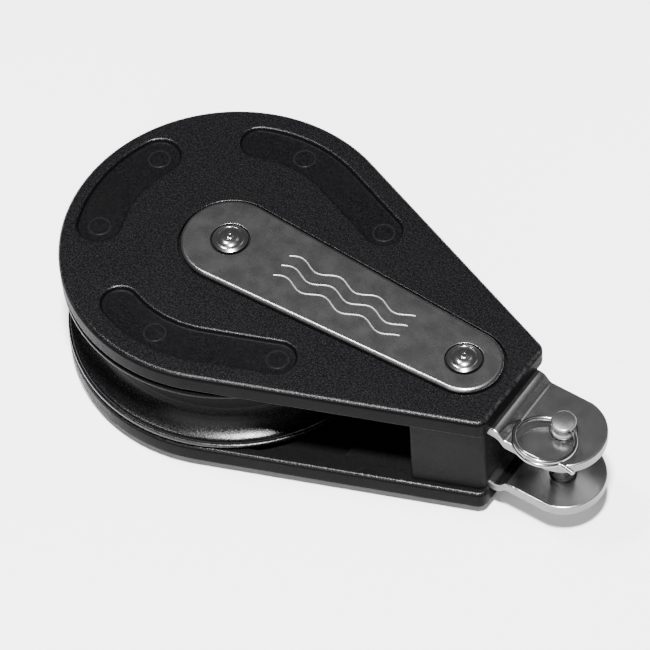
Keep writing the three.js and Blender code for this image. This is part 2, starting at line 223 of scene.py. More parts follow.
class Shell:
    def __init__(self):
        self.bm = bmesh.new()

    def loop(self, points, z):
        return [self.bm.verts.new((x, y, z)) for x, y in points]

    def bridge(self, a, b):
        n = len(a)
        for i in range(n):
            self.bm.faces.new((a[i], a[(i + 1) % n], b[(i + 1) % n], b[i]))

    def bridge_all(self, loops):
        for a, b in zip(loops, loops[1:]):
            self.bridge(a, b)

    def stack(self, outline, profile, first):
        """Wall of outlines at a profile's insets and heights, on from a first loop. Returns the last."""
        loops = [first] + [self.loop(outline(inset), z) for inset, z in profile]
        self.bridge_all(loops)
        return loops[-1]

    def bore(self, x, profile):
        """Round hole of (radius, z) steps, from the top down. Returns its top and bottom loops."""
        loops = [self.loop(ring(x, 0, r, 64), z) for r, z in profile]
        self.bridge_all(loops)
        return loops[0], loops[-1]

    def fill(self, *loops):
        edges = []
        for points in loops:
            for i, v in enumerate(points):
                w = points[(i + 1) % len(points)]
                edges.append(self.bm.edges.get((v, w)) or self.bm.edges.new((v, w)))
        bmesh.ops.triangle_fill(self.bm, use_beauty=True, use_dissolve=False, edges=edges)

    def mesh(self, name):
        bmesh.ops.recalc_face_normals(self.bm, faces=self.bm.faces)
        data = bpy.data.meshes.new(name)
        self.bm.to_mesh(data)
        self.bm.free()
        obj = bpy.data.objects.new(name, data)
        bpy.context.scene.collection.objects.link(obj)
        return obj


def carve(obj, *cutters):
    for cutter in cutters:
        mod = obj.modifiers.new("cut", "BOOLEAN")
        mod.operation = "DIFFERENCE"
        mod.solver = "EXACT"
        mod.object = cutter
        graph = bpy.context.evaluated_depsgraph_get()
        data = bpy.data.meshes.new_from_object(obj.evaluated_get(graph))
        obj.modifiers.clear()
        obj.data = data
        bpy.data.objects.remove(cutter)
    return obj


def prism(points, z0, z1, holes=()):
    s = Shell()
    low = [s.loop(p, z0) for p in (points, *holes)]
    high = [s.loop(p, z1) for p in (points, *holes)]
    for a, b in zip(low, high):
        s.bridge(a, b)
    s.fill(*low)
    s.fill(*high)
    return s.mesh("cutter")


def lathe(profile, n=96, x=0.0):
    """Turned body of (r, z) points: a closed loop, or a profile that starts and ends on the axis."""
    s = Shell()
    rings = []
    for r, z in profile:
        if r == 0:
            rings.append([s.bm.verts.new((x, 0, z))])
        else:
            rings.append(s.loop(ring(x, 0, r, n), z))
    pairs = list(zip(rings, rings[1:]))
    if profile[0][0] != 0:
        pairs.append((rings[-1], rings[0]))
    for a, b in pairs:
        if len(a) == 1 or len(b) == 1:
            tip, rim = (a[0], b) if len(a) == 1 else (b[0], a)
            for i in range(n):
                s.bm.faces.new((tip, rim[i], rim[(i + 1) % n]))
        else:
            s.bridge(a, b)
    return s


def place(obj, name, node, body, material, flip=False, sharp=32):
    """Turns a mesh made in mm into a named piece that stands for a CAD node. The lower half is flipped."""
    obj.name = name
    if flip:
        to_middle = Matrix.Translation((0, 0, -MID))
        turn_over = Matrix.Rotation(math.pi, 4, "X")
        obj.data.transform(Matrix.Translation((0, 0, MID)) @ turn_over @ to_middle)
    obj.data.transform(Matrix.Scale(MM, 4))
    obj.data.shade_smooth()
    obj.data.set_sharp_from_angle(angle=math.radians(sharp))
    weighted = obj.modifiers.new("weighted", "WEIGHTED_NORMAL")
    weighted.keep_sharp = True
    obj.data.materials.clear()
    obj.data.materials.append(material)
    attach(obj, body)
    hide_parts(node)
    return obj


# ---------------------------------------------------------------- material nodes

def grey(value):
    return (value, value, value)


def scaled(colour, factor, lift=0.0):
    return tuple(min(1, c * factor + lift) for c in colour)


def graph_for(name):
    mat = bpy.data.materials.new(name)
    mat.use_nodes = True
    tree = mat.node_tree
    tree.nodes.clear()
    out = tree.nodes.new("ShaderNodeOutputMaterial")
    shader = tree.nodes.new("ShaderNodeBsdfPrincipled")
    tree.links.new(shader.outputs["BSDF"], out.inputs["Surface"])
    coord = tree.nodes.new("ShaderNodeTexCoord")
    return mat, tree, shader, coord


def noise(tree, coord, scale, detail=4.0, rough=0.55, stretch=None):
    source = coord.outputs["Object"]
    if stretch:
        mapping = tree.nodes.new("ShaderNodeMapping")
        mapping.inputs["Scale"].default_value = stretch
        tree.links.new(source, mapping.inputs["Vector"])
        source = mapping.outputs["Vector"]
    node = tree.nodes.new("ShaderNodeTexNoise")
    node.inputs["Scale"].default_value = scale
    node.inputs["Detail"].default_value = detail
    node.inputs["Roughness"].default_value = rough
    tree.links.new(source, node.inputs["Vector"])
    return node.outputs["Fac"]


def ramp(tree, fac, low, high, a=0.0, b=1.0):
    node = tree.nodes.new("ShaderNodeMapRange")
    node.inputs["From Min"].default_value = low
    node.inputs["From Max"].default_value = high
    node.inputs["To Min"].default_value = a
    node.inputs["To Max"].default_value = b
    tree.links.new(fac, node.inputs["Value"])
    return node.outputs["Result"]


def blend_colour(tree, fac, a, b):
    node = tree.nodes.new("ShaderNodeMix")
    node.data_type = "RGBA"
    tree.links.new(fac, node.inputs["Factor"])
    for value, socket in ((a, node.inputs["A"]), (b, node.inputs["B"])):
        if isinstance(value, tuple):
            socket.default_value = (*value, 1)
        else:
            tree.links.new(value, socket)
    return node.outputs["Result"]


def combine(tree, a, b, op="ADD"):
    node = tree.nodes.new("ShaderNodeMath")
    node.operation = op
    for value, socket in ((a, node.inputs[0]), (b, node.inputs[1])):
        if isinstance(value, (int, float)):
            socket.default_value = value
        else:
            tree.links.new(value, socket)
    return node.outputs["Value"]


def bump(tree, shader, height, distance):
    node = tree.nodes.new("ShaderNodeBump")
    node.inputs["Strength"].default_value = 1
    node.inputs["Distance"].default_value = distance
    tree.links.new(height, node.inputs["Height"])
    tree.links.new(node.outputs["Normal"], shader.inputs["Normal"])


def edge_wear(tree, coord):
    """Patches on the outer edges."""
    geometry = tree.nodes.new("ShaderNodeNewGeometry")
    worn = ramp(tree, geometry.outputs["Pointiness"], 0.53, 0.62)
    patchy = ramp(tree, noise(tree, coord, 900), 0.4, 0.65)
    return combine(tree, worn, patchy, "MULTIPLY")


def plastic(name, colour, light, rough, grain, depth, speck, shine):
    """Moulded plastic: pale specks, broad dark clouds, worn edges, mottled gloss and a fine bumpy grain."""
    mat, tree, shader, coord = graph_for(name)
    pits = combine(tree, noise(tree, coord, grain, 3.0, 0.6), 0.8, "MULTIPLY")
    lumps = combine(tree, noise(tree, coord, grain * 0.45, 2.0, 0.6), 0.2, "MULTIPLY")
    fine = combine(tree, pits, lumps)
    broad = noise(tree, coord, 60, 3.0)
    tint = blend_colour(tree, ramp(tree, fine, 0.44, 0.7, 0, speck), colour, light)
    tint = blend_colour(tree, ramp(tree, broad, 0.35, 0.75, 0, 0.35), tint, scaled(colour, 0.72))
    worn = combine(tree, edge_wear(tree, coord), 0.35, "MULTIPLY")
    tint = blend_colour(tree, worn, tint, scaled(light, 2.2, 0.02))
    tree.links.new(tint, shader.inputs["Base Color"])
    shader.inputs["Specular IOR Level"].default_value = shine
    clouds = ramp(tree, broad, 0.3, 0.7, rough - 0.05, rough + 0.05)
    grains = ramp(tree, fine, 0.43, 0.6, -0.3 * rough, 0.23 * rough)
    tree.links.new(combine(tree, clouds, grains), shader.inputs["Roughness"])
    bump(tree, shader, fine, depth)
    return mat


def steel(name, colour, rough, brushed, grit, scratch):
    """Stainless steel: cloudy tone and gloss, brushed lines, fine grit and hair scratches."""
    mat, tree, shader, coord = graph_for(name)
    shader.inputs["Metallic"].default_value = 1
    cloud = noise(tree, coord, 260, 4.0)
    lines = noise(tree, coord, 900, 2.0, 0.5, (0.06, 1.0, 1.0))
    hairs = noise(tree, coord, 300, 3.0, 0.7, (1.0, 0.12, 1.0))
    tint = blend_colour(tree, ramp(tree, cloud, 0.35, 0.7), scaled(colour, 0.92), colour)
    tint = blend_colour(tree, ramp(tree, hairs, 0.66, 0.72, 0, 0.25 * scratch), tint, scaled(colour, 1.5))
    brushing = ramp(tree, lines, 0.3, 0.7, 0, brushed)
    cuts = ramp(tree, hairs, 0.66, 0.72, 0, -0.3 * scratch)
    fine = noise(tree, coord, 3000, 2.0, 0.5)
    gritty = combine(tree, fine, grit, "MULTIPLY")
    height = combine(tree, combine(tree, brushing, cuts), gritty)
    tint = blend_colour(tree, ramp(tree, fine, 0.4, 0.7, 0, 0.3 * grit), tint, scaled(colour, 1.35))
    tree.links.new(tint, shader.inputs["Base Color"])
    tree.links.new(ramp(tree, cloud, 0.3, 0.7, rough * 0.93, rough * 1.08), shader.inputs["Roughness"])
    bump(tree, shader, height, 0.00001)
    return mat


# ---------------------------------------------------------------- materials

NYLON = plastic(
    "cheek_nylon", colour=(0.0016, 0.0016, 0.0018), light=(0.0098, 0.0098, 0.0106),
    rough=0.28, grain=2800, depth=0.00008, speck=0.85, shine=0.175,
)
# Painted shade: the cheeks' side walls get a darker, duller copy of the nylon, so they show less of the
# light they catch.
SHADED_SIDE_NYLON = plastic(
    "cheek_nylon_side_painted_shade", colour=(0.001, 0.001, 0.0012), light=(0.003, 0.003, 0.0035),
    rough=0.45, grain=3600, depth=0.00004, speck=0.7, shine=0.022,
)
POCKET_NYLON = plastic(
    "cheek_nylon_smooth", colour=(0.0016, 0.0016, 0.0018), light=(0.0045, 0.0045, 0.005),
    rough=0.42, grain=2600, depth=0.00003, speck=0.7, shine=0.07,
)
# Painted light: the cheeks' inner faces, which lie in shade inside the block, get a lighter copy of the
# nylon that lifts their shade.
LIFTED_INSIDE_NYLON = plastic(
    "cheek_nylon_inside_painted_fill", colour=(0.003, 0.003, 0.0032), light=(0.006, 0.006, 0.0066),
    rough=0.45, grain=2600, depth=0.00005, speck=0.7, shine=0.035,
)
# Painted highlight: the walls of each ejector mark get a lighter copy of the nylon, standing in for the
# light their edge catches.
MARK_HIGHLIGHT_NYLON = plastic(
    "cheek_nylon_mark_painted_highlight", colour=(0.0048, 0.0048, 0.0052), light=(0.008, 0.008, 0.0088),
    rough=0.4, grain=2600, depth=0.00003, speck=0.7, shine=0.07,
)
SPACER_NYLON = plastic(
    "spacer_nylon", colour=(0.002, 0.002, 0.0022), light=(0.005, 0.005, 0.006),
    rough=0.5, grain=2600, depth=0.00005, speck=0.7, shine=0.031,
)
ACETALS = [
    plastic(
        f"sheave_acetal_{i}", colour=(0.0014, 0.0014, 0.0016), light=(0.0028, 0.0028, 0.0032),
        rough=0.25, grain=2400, depth=0.000045, speck=0.6, shine=shine,
    )
    for i, shine in enumerate((0.184, 0.156, 0.11, 0.064, 0.037))
]
POLYMER = plastic(
    "bearing_polymer", colour=(0.62, 0.6, 0.54), light=(0.7, 0.68, 0.62),
    rough=0.5, grain=2400, depth=0.00001, speck=0.5, shine=0.5,
)
# Painted shade: a dark, dull finish laid on the dish walls and floor round each rivet head, where the gap
# lies in shade.
SEAT_PAINTED_SHADE = plastic(
    "rivet_seat_painted_shade", colour=grey(0.003), light=(0.008, 0.0075, 0.007),
    rough=0.8, grain=1800, depth=0.00003, speck=0.8, shine=0.035,
)
PLATE_STEEL = steel("plate_steel", grey(0.2), rough=0.27, brushed=0.25, grit=1.6, scratch=0.8)
ENGRAVED_STEEL = steel("engraved_steel", grey(0.3), rough=0.5, brushed=0.1, grit=0.0, scratch=0.2)
RIVET_STEEL = steel("rivet_steel", grey(0.3), rough=0.17, brushed=0.0, grit=0.1, scratch=0.1)
FORK_STEEL = steel("fork_steel", grey(0.32), rough=0.22, brushed=0.15, grit=1.2, scratch=0.7)
RIM_STEEL = steel("fork_cut_edge", grey(0.14), rough=0.42, brushed=0.5, grit=0.8, scratch=0.8)
PIN_STEEL = steel("pin_steel", grey(0.345), rough=0.28, brushed=0.3, grit=0.5, scratch=0.6)
WIRE_STEEL = steel("wire_steel", grey(0.24), rough=0.2, brushed=0.1, grit=0.1, scratch=0.2)


# ---------------------------------------------------------------- pockets in the cheeks

ROUND_PATH_R, ROUND_HALF, ROUND_SPREAD = 32.3, 5.3, math.radians(22.5)
SIDE_PATH_R, SIDE_HALF, SIDE_START_X, SIDE_END = 31.3, 4.5, 29.0, math.radians(112)
ROUND_PATH = arc(0, 0, ROUND_PATH_R, math.pi - ROUND_SPREAD, math.pi + ROUND_SPREAD, 20)
SIDE_PATH = [(SIDE_START_X, flank_y(SIDE_PATH_R, SIDE_START_X))]
SIDE_PATH += arc(0, 0, SIDE_PATH_R, FLANK, SIDE_END, 20)
FAR_PATH = [(x, -y) for x, y in SIDE_PATH][::-1]
# Each pocket's centre line, half width and the centres of its two ejector marks.
POCKETS = (
    (ROUND_PATH, ROUND_HALF, (ROUND_PATH[0], ROUND_PATH[-1])),
    (SIDE_PATH, SIDE_HALF, (SIDE_PATH[0], (0.0, SIDE_PATH_R))),
    (FAR_PATH, SIDE_HALF, (FAR_PATH[-1], (0.0, -SIDE_PATH_R))),
)
POCKET_DEPTH = 1.1
POCKET_RIM = 0.75
POCKET_FOOT = ((0.06, 0.26), (0.2, 0.09), (0.5, 0.0))  # inset, height above the floor
MARK_R = 2.85
MARK_STEPS = ((0.1, 0.13), (0.35, 0.13), (0.5, 0.02))  # inset, depth below the floor


def pocket(s, path, half, marks):
    """Recess with a rounded rim, steep wall and rounded foot. Round ejector marks are sunk in its floor."""
    floor = CHEEK_OUT - POCKET_DEPTH
    profile = [(-inset, z) for inset, z in edge_down(POCKET_RIM, CHEEK_OUT, 4)]
    profile += [(inset, floor + rise) for inset, rise in POCKET_FOOT]
    top = s.loop(slot(path, half - profile[0][0]), profile[0][1])
    foot = s.stack(lambda inset: slot(path, half - inset), profile[1:], top)
    holes = []
    for x, y in marks:
        start = s.loop(ring(x, y, MARK_R, 36), floor)
        steps = [(inset, floor - depth) for inset, depth in MARK_STEPS]
        s.fill(s.stack(lambda inset: ring(x, y, MARK_R - inset, 36), steps, start))
        holes.append(start)
    s.fill(foot, *holes)
    return top


def in_pocket(x, y):
    p = Vector((x, y))
    for path, half, marks in POCKETS:
        for a, b in zip(map(Vector, path), map(Vector, path[1:])):
            t = min(1, max(0, (p - a).dot(b - a) / (b - a).length_squared))
            if (p - a - t * (b - a)).length < half + 0.3:
                return True
    return False


def on_mark_edge(x, y):
    to_mark = min(math.hypot(x - a, y - b) for path, half, marks in POCKETS for a, b in marks)
    return 2.3 < to_mark < 2.9


# ---------------------------------------------------------------- cheeks

CHEEK_INNER_EDGE, CHEEK_OUTER_EDGE = 1.0, 1.2
RECESS_GAP, RECESS_EDGE = 0.45, 0.3
WELL_WALL, WELL_DEPTH, WELL_END_X, WELL_HUB_R = 2.4, 2.0, 46.0, 12.5


def sheave_well():
    """Outline of the hollow that the sheave turns in."""
    r = CHEEK_R - WELL_WALL
    side = flank_y(r, WELL_END_X)
    return arc(0, 0, r, FLANK, TAU - FLANK, 96) + [(WELL_END_X, -side), (WELL_END_X, side)]


def cheek():
    s = Shell()
    wall = edge_up(CHEEK_INNER_EDGE, CHEEK_IN, 6) + fillet(CHEEK_OUTER_EDGE, CHEEK_OUT, 7)
    low = s.loop(teardrop(wall[0][0]), wall[0][1])
    top = s.stack(teardrop, wall[1:], low)
    s.fill(low)
    recess = [(RECESS_GAP + inset, z) for inset, z in edge_down(RECESS_EDGE, CHEEK_OUT, 4)]
    recess.append((RECESS_GAP, PLATE_IN - FACE_GAP))
    recess_top = s.loop(stadium(recess[0][0]), recess[0][1])
    s.fill(s.stack(stadium, recess[1:], recess_top))
    pocket_tops = [pocket(s, path, half, marks) for path, half, marks in POCKETS]
    s.fill(top, recess_top, *pocket_tops)
    below, above = CHEEK_IN - BEYOND, CHEEK_OUT + BEYOND
    return carve(
        s.mesh("cheek"),
        prism(sheave_well(), below, CHEEK_IN + WELL_DEPTH, [ring(0, 0, WELL_HUB_R, 64)]),
        prism(tang_channel(NOSE_X + BEYOND), below, TANG_OUT + FACE_GAP),
        prism(ring(0, 0, SLEEVE_R + SLIP), below, above),
        prism(ring(PITCH, 0, RIVET_R + SLIP), below, above),
    )


SMOOTH, SIDE, INSIDE, MARK = 1, 2, 3, 4


def cheek_finish(face, flip):
    """Which of the cheek's materials a face has."""
    x, y, z = face.center / MM
    if flip:
        y = -y
    depth = CHEEK_OUT - MID - abs(z - MID)
    if 0.45 < depth < POCKET_DEPTH + 0.2 and in_pocket(x, y):
        # The walls of the ejector marks get the lighter painted-highlight copy of the nylon.
        return MARK if depth > POCKET_DEPTH + 0.001 and on_mark_edge(x, y) else SMOOTH
    level = abs(face.normal.z)
    # Flat inner faces get the lighter painted-light copy of the nylon.
    if level > 0.99 and face.normal.z * (z - MID) < 0:
        return INSIDE
    # Side walls get the darker painted-shade copy of the nylon.
    if level < 0.62 and 0.2 < depth < CHEEK_OUT - CHEEK_IN - 0.6:
        return SIDE
    return 0


for suffix, flip in SIDES:
    shell = place(cheek(), f"{suffix}_cheek_fine", f"{suffix}_cheek", "frame", NYLON, flip)
    for finish in (POCKET_NYLON, SHADED_SIDE_NYLON, LIFTED_INSIDE_NYLON, MARK_HIGHLIGHT_NYLON):
        shell.data.materials.append(finish)
    for face in shell.data.polygons:
        face.material_index = cheek_finish(face, flip)


# ---------------------------------------------------------------- side plates with a plain wave pattern

PLATE_EDGE, PLATE_CHAMFER = 1.0, 0.2
SEAT_GAP, SEAT_DEPTH, SEAT_HOLE_GAP = 0.5, 0.6, 0.1
WAVE_START, WAVE_STEP, WAVE_STEPS, STEPS_PER_WAVE = 15.0, 0.5, 70, 22
WAVE_HEIGHT, WAVE_HALF, WAVE_SPACING = 0.95, 0.22, 3.4
WAVE_FOOT = ((0.05, 0.05), (0.12, 0.09))  # inset, depth below the plate's face


def wave(offset):
    """Centre line of one engraved groove."""
    swings = [WAVE_HEIGHT * math.sin(TAU * i / STEPS_PER_WAVE) for i in range(WAVE_STEPS + 1)]
    return [(WAVE_START + WAVE_STEP * i, offset + swing) for i, swing in enumerate(swings)]


def rivet_seat(head_r):
    """(radius, z) steps of the dish round a rivet head and the hole under it."""
    wall, hole = head_r + SEAT_GAP, RIVET_R + SEAT_HOLE_GAP
    dish = [(wall + 0.1, 0.0), (wall + 0.03, 0.04), (wall, 0.12), (wall - 0.04, SEAT_DEPTH)]
    dish.append((hole, SEAT_DEPTH))
    return [(r, PLATE_OUT - depth) for r, depth in dish] + [(hole, PLATE_IN)]


def side_plate():
    s = Shell()
    low = s.loop(stadium(-PLATE_CHAMFER), PLATE_IN)
    profile = [(0.0, PLATE_IN + PLATE_CHAMFER)]
    profile += [(-inset, z) for inset, z in fillet(PLATE_EDGE, PLATE_OUT, 8)]
    under, over = [low], [s.stack(stadium, profile, low)]
    for x, head_r in ((0.0, HEAD_R), (PITCH, TAIL_HEAD_R)):
        top, bottom = s.bore(x, rivet_seat(head_r))
        over.append(top)
        under.append(bottom)
    for row in (-1, 0, 1):
        path = wave(row * WAVE_SPACING)
        groove = s.loop(slot(path, WAVE_HALF, 6), PLATE_OUT)
        steps = [(inset, PLATE_OUT - depth) for inset, depth in WAVE_FOOT]
        s.fill(s.stack(lambda inset: slot(path, WAVE_HALF - inset, 6), steps, groove))
        over.append(groove)
    s.fill(*over)
    s.fill(*under)
    return s.mesh("plate")


ENGRAVED, SHADED_SEAT = 1, 2


def plate_finish(face):
    """Which of the plate's materials a face has."""
    x, y, z = face.center / MM
    depth = PLATE_OUT - MID - abs(z - MID)
    # The dish faces round the rivet heads get the dark painted shade.
    if min(math.hypot(x, y), math.hypot(x - PITCH, y)) < 5.2 and 0.2 < depth < 0.7:
        return SHADED_SEAT
    if 14 < x < 52 and abs(y) < 6 and 0.005 < depth < 0.995:
        return ENGRAVED
    return 0


for suffix, flip in SIDES:
    plate = side_plate()
    plate_node = f"{suffix}_side_plate"
    place(plate, f"{plate_node}_fine", plate_node, "frame", PLATE_STEEL, flip)
    plate.data.materials.append(ENGRAVED_STEEL)
    plate.data.materials.append(SEAT_PAINTED_SHADE)
    for face in plate.data.polygons:
        face.material_index = plate_finish(face)


# ---------------------------------------------------------------- rivets

RIVET_SINK = 0.55  # how far a head's underside lies below the plate's face
HEAD_FOOT = 0.1
# A worn step and a low dome: share of the head's radius, height above its underside.
HEAD_STEPS = (
    (1.0, 0.72), (0.993, 0.78), (0.975, 0.82), (0.86, 1.1), (0.76, 1.32),
    (0.745, 1.31), (0.73, 1.25), (0.718, 1.3), (0.7, 1.38), (0.6, 1.6),
    (0.5, 1.78), (0.42, 1.86), (0.34, 1.9), (0.27, 1.91), (0.255, 1.93),
)
LAND_STEPS = ((0.24, 0.1), (0.21, 0.03), (0.17, 0.0))  # share of the radius, depth below the top
CENTRE_DOT = ((0.4, 0.0), (0.28, 0.06), (0.0, 0.1))  # radius, depth below the top


def rivet(head_r, x):
    seat = PLATE_OUT - RIVET_SINK
    half = [(RIVET_R, seat), (head_r - HEAD_FOOT, seat), (head_r, seat + HEAD_FOOT)]
    half += [(head_r * share, seat + rise) for share, rise in HEAD_STEPS]
    half += [(head_r * share, HEAD_TOP - depth) for share, depth in LAND_STEPS]
    half += [(r, HEAD_TOP - depth) for r, depth in CENTRE_DOT]
    other = [(r, 2 * MID - z) for r, z in reversed(half)]
    return lathe(other + half, 72, x).mesh("rivet")


axle = rivet(HEAD_R, 0.0)
place(axle, "axle_rivet_fine", "axle_rivet", "frame", RIVET_STEEL, sharp=40)
tail = rivet(TAIL_HEAD_R, PITCH)
place(tail, "tail_rivet_fine", "tail_rivet", "frame", RIVET_STEEL, sharp=40)


# ---------------------------------------------------------------- sheave

GROOVE_LIP, GROOVE_DEPTH, GROOVE_STEPS = 9.4, 7.5, 40
GROOVE_TRIM = 0.13  # angle at each end of the groove that the lip's own curve takes
HUB_R, HUB_EDGE = 13.0, 0.3
WEB_IN, WEB_OUT, WEB_HALF = 14.0, 28.0, 7.0
FLANGE_IN, FLANGE_FOOT, FLANGE_DRAFT, FLANGE_EDGE = 28.8, 10.0, 0.4, 0.6
# From the rim into the groove: inset from the rim, height above the lip.
LIP_STEPS = ((0.0, 0.2), (0.08, 0.02), (0.28, -0.1), (0.5, -0.12), (0.62, -0.22), (0.7, -0.42))
DULL_START = -6.5  # height above the middle, where the groove's surface begins to be duller


def sheave():
    groove_r = (GROOVE_LIP**2 + GROOVE_DEPTH**2) / (2 * GROOVE_DEPTH)
    centre = SHEAVE_R - GROOVE_DEPTH + groove_r
    reach = math.asin(GROOVE_LIP / groove_r) - GROOVE_TRIM
    angles = [reach * (1 - 2 * i / GROOVE_STEPS) for i in range(GROOVE_STEPS + 1)]
    groove = [(centre - groove_r * math.cos(a), groove_r * math.sin(a)) for a in angles]
    bore = BUSH_R + FACE_GAP
    half = [(bore, BUSH_HALF - HUB_EDGE), (bore + HUB_EDGE, BUSH_HALF)]
    half += [(HUB_R - HUB_EDGE, BUSH_HALF), (HUB_R, BUSH_HALF - HUB_EDGE)]
    half += [(WEB_IN, WEB_HALF), (WEB_OUT, WEB_HALF)]
    half += [(FLANGE_IN, FLANGE_FOOT), (FLANGE_IN + FLANGE_DRAFT, SHEAVE_HALF)]
    half += [(SHEAVE_R - inset, z) for inset, z in edge_down(FLANGE_EDGE, SHEAVE_HALF, 5)]
    half += [(SHEAVE_R - inset, GROOVE_LIP + rise) for inset, rise in LIP_STEPS]
    other = [(r, -z) for r, z in reversed(half)]
    profile = [(r, MID + z) for r, z in half + groove + other]
    return lathe(profile, 180).mesh("sheave")


wheel = place(sheave(), "sheave_fine", "sheave", "wheel", ACETALS[0])
for duller in ACETALS[1:]:
    wheel.data.materials.append(duller)
for face in wheel.data.polygons:
    steps_up = 1 + math.floor(face.center.z / MM - MID - DULL_START)
    face.material_index = min(len(ACETALS) - 1, max(0, steps_up))


# ---------------------------------------------------------------- bearing pieces and sleeves

BUSH_BORE_GAP = 0.15


def rounded_tube(r0, r1, z0, z1, e=0.25):
    """(r, z) loop of a tube whose edges are eased by e."""
    k = 0.3 * e
    return [
        (r0 + e, z0), (r1 - e, z0), (r1 - k, z0 + k), (r1, z0 + e), (r1, z1 - e), (r1 - k, z1 - k),
        (r1 - e, z1), (r0 + e, z1), (r0 + k, z1 - k), (r0, z1 - e), (r0, z0 + e), (r0 + k, z0 + k),
    ]


def mid_tube(r0, r1, half):
    return rounded_tube(r0, r1, MID - half, MID + half)


bush = lathe(mid_tube(SLEEVE_R + BUSH_BORE_GAP, BUSH_R, BUSH_HALF)).mesh("bush")
place(bush, "sheave_bush_fine", "sheave_bush", "wheel", POLYMER)
for suffix, flip in SIDES:
    washer = lathe(rounded_tube(SLEEVE_R + SLIP, WASHER_R, WASHER_LOW, WASHER_HIGH, 0.15)).mesh("washer")
    washer_node = f"{suffix}_thrust_washer"
    place(washer, f"{washer_node}_fine", washer_node, "frame", POLYMER, flip)
sleeve = lathe(mid_tube(RIVET_R + SLIP, SLEEVE_R, SLEEVE_HALF)).mesh("sleeve")
place(sleeve, "axle_sleeve_fine", "axle_sleeve", "frame", RIVET_STEEL)
sleeve = lathe(mid_tube(RIVET_R + SLIP, TAIL_SLEEVE_R, TAIL_SLEEVE_HALF), 96, PITCH).mesh("sleeve")
place(sleeve, "tail_sleeve_fine", "tail_sleeve", "frame", RIVET_STEEL)


# ---------------------------------------------------------------- fork plates

TANG_EDGE, TANG_CORNER = 0.45, 3.0
PIN_HOLE_GAP = 0.15
HOLE_EDGE = ((0.3, 0.0), (0.1, 0.08), (0.0, 0.3))  # radius beyond the hole, depth below the face
JOGGLE_START, JOGGLE_END, JOGGLE_CUTS = 80.9, 84.4, 60
# Slope of the joggle along its length: share of the length, slope.
JOGGLE_SLOPES = (
    (0, 0), (0.06, 0.18), (0.34, 0.36), (0.5, 1.0), (0.83, 1.0), (0.87, 0.26), (0.98, 0.22), (1, 0),
)


def joggle(x):
    """Drop of the plate: a long easy outer bend, a short steep slope and a small flat crease."""
    t = min(1, max(0, (x - JOGGLE_START) / (JOGGLE_END - JOGGLE_START)))
    done = total = 0
    for (t0, s0), (t1, s1) in zip(JOGGLE_SLOPES, JOGGLE_SLOPES[1:]):
        reach = min(max(t - t0, 0), t1 - t0)
        done += reach * (s0 + (s1 - s0) * reach / (t1 - t0) / 2)
        total += (t1 - t0) * (s0 + s1) / 2
    return -(TANG_OUT - TANG_THICK - EAR_IN) * done / total


def tang_outline(inset):
    lean = math.asin(TANG_HALF / EAR_R)
    x, y = TANG_BACK + TANG_CORNER, TANG_HALF - TANG_CORNER
    r = TANG_CORNER - inset
    ear = arc(PIN_X, 0, EAR_R - inset, -lean, lean, 56)
    return ear + arc(x, y, r, QUARTER, math.pi, 10) + arc(x, -y, r, math.pi, 1.5 * math.pi, 10)


def tang():
    top, low = TANG_OUT, TANG_OUT - TANG_THICK
    profile = edge_up(TANG_EDGE, low, 5) + fillet(TANG_EDGE, top, 5)
    s = Shell()
    first = s.loop(tang_outline(profile[0][0]), profile[0][1])
    under, over = [first], [s.stack(tang_outline, profile[1:], first)]
    for x, r in ((PITCH, RIVET_R + SLIP), (PIN_X, PIN_R + PIN_HOLE_GAP)):
        hole = [(r + out, top - depth) for out, depth in HOLE_EDGE]
        hole += [(r + out, low + depth) for out, depth in reversed(HOLE_EDGE)]
        hole_top, hole_bottom = s.bore(x, hole)
        over.append(hole_top)
        under.append(hole_bottom)
    s.fill(*over)
    s.fill(*under)
    for t in [i / JOGGLE_CUTS for i in range(JOGGLE_CUTS + 1)]:
        x = JOGGLE_START + (JOGGLE_END - JOGGLE_START) * t
        geometry = s.bm.verts[:] + s.bm.edges[:] + s.bm.faces[:]
        bmesh.ops.bisect_plane(s.bm, geom=geometry, dist=1e-4, plane_co=(x, 0, 0), plane_no=(1, 0, 0))
    for v in s.bm.verts:
        v.co.z += joggle(v.co.x)
    return s.mesh("tang")


CUT_EDGE = 1

for suffix, flip in SIDES:
    fork = place(tang(), f"{suffix}_tang_fine", f"{suffix}_tang", "frame", FORK_STEEL, flip)
    fork.data.materials.append(RIM_STEEL)
    for face in fork.data.polygons:
        if abs(face.normal.z) < 0.3:
            face.material_index = CUT_EDGE


# ---------------------------------------------------------------- nose spacer

SPACER_EDGE = 0.3
SPACER_CORNER, SPACER_CORNER_X = 0.8, 62.7
SPACER_BACK_STEPS = 24


def spacer_outline(inset):
    """Hollow curved back, small rounded corners, straight flanks and the nose's rounded corners."""
    r = CHEEK_R - SPACER_INSET
    edge = flank_y(r, SPACER_CORNER_X)
    shares = [1 - 2 * i / SPACER_BACK_STEPS for i in range(1, SPACER_BACK_STEPS)]
    hollow = SPACER_CORNER_X - SPACER_BACK
    back = [(SPACER_BACK + inset + hollow * t * t, (edge - SPACER_CORNER) * t) for t in shares]
    corner_x = SPACER_CORNER_X + 0.9 * SPACER_CORNER
    corner_y = edge - 1.25 * SPACER_CORNER
    corner_r = SPACER_CORNER - 0.9 * inset
    upper = arc(corner_x, corner_y, corner_r, FLANK, FLANK + QUARTER + 0.25, 6)
    lower = [(x, -y) for x, y in reversed(upper)]
    return upper + back + lower + nose_end(r, SPACER_NOSE, inset)


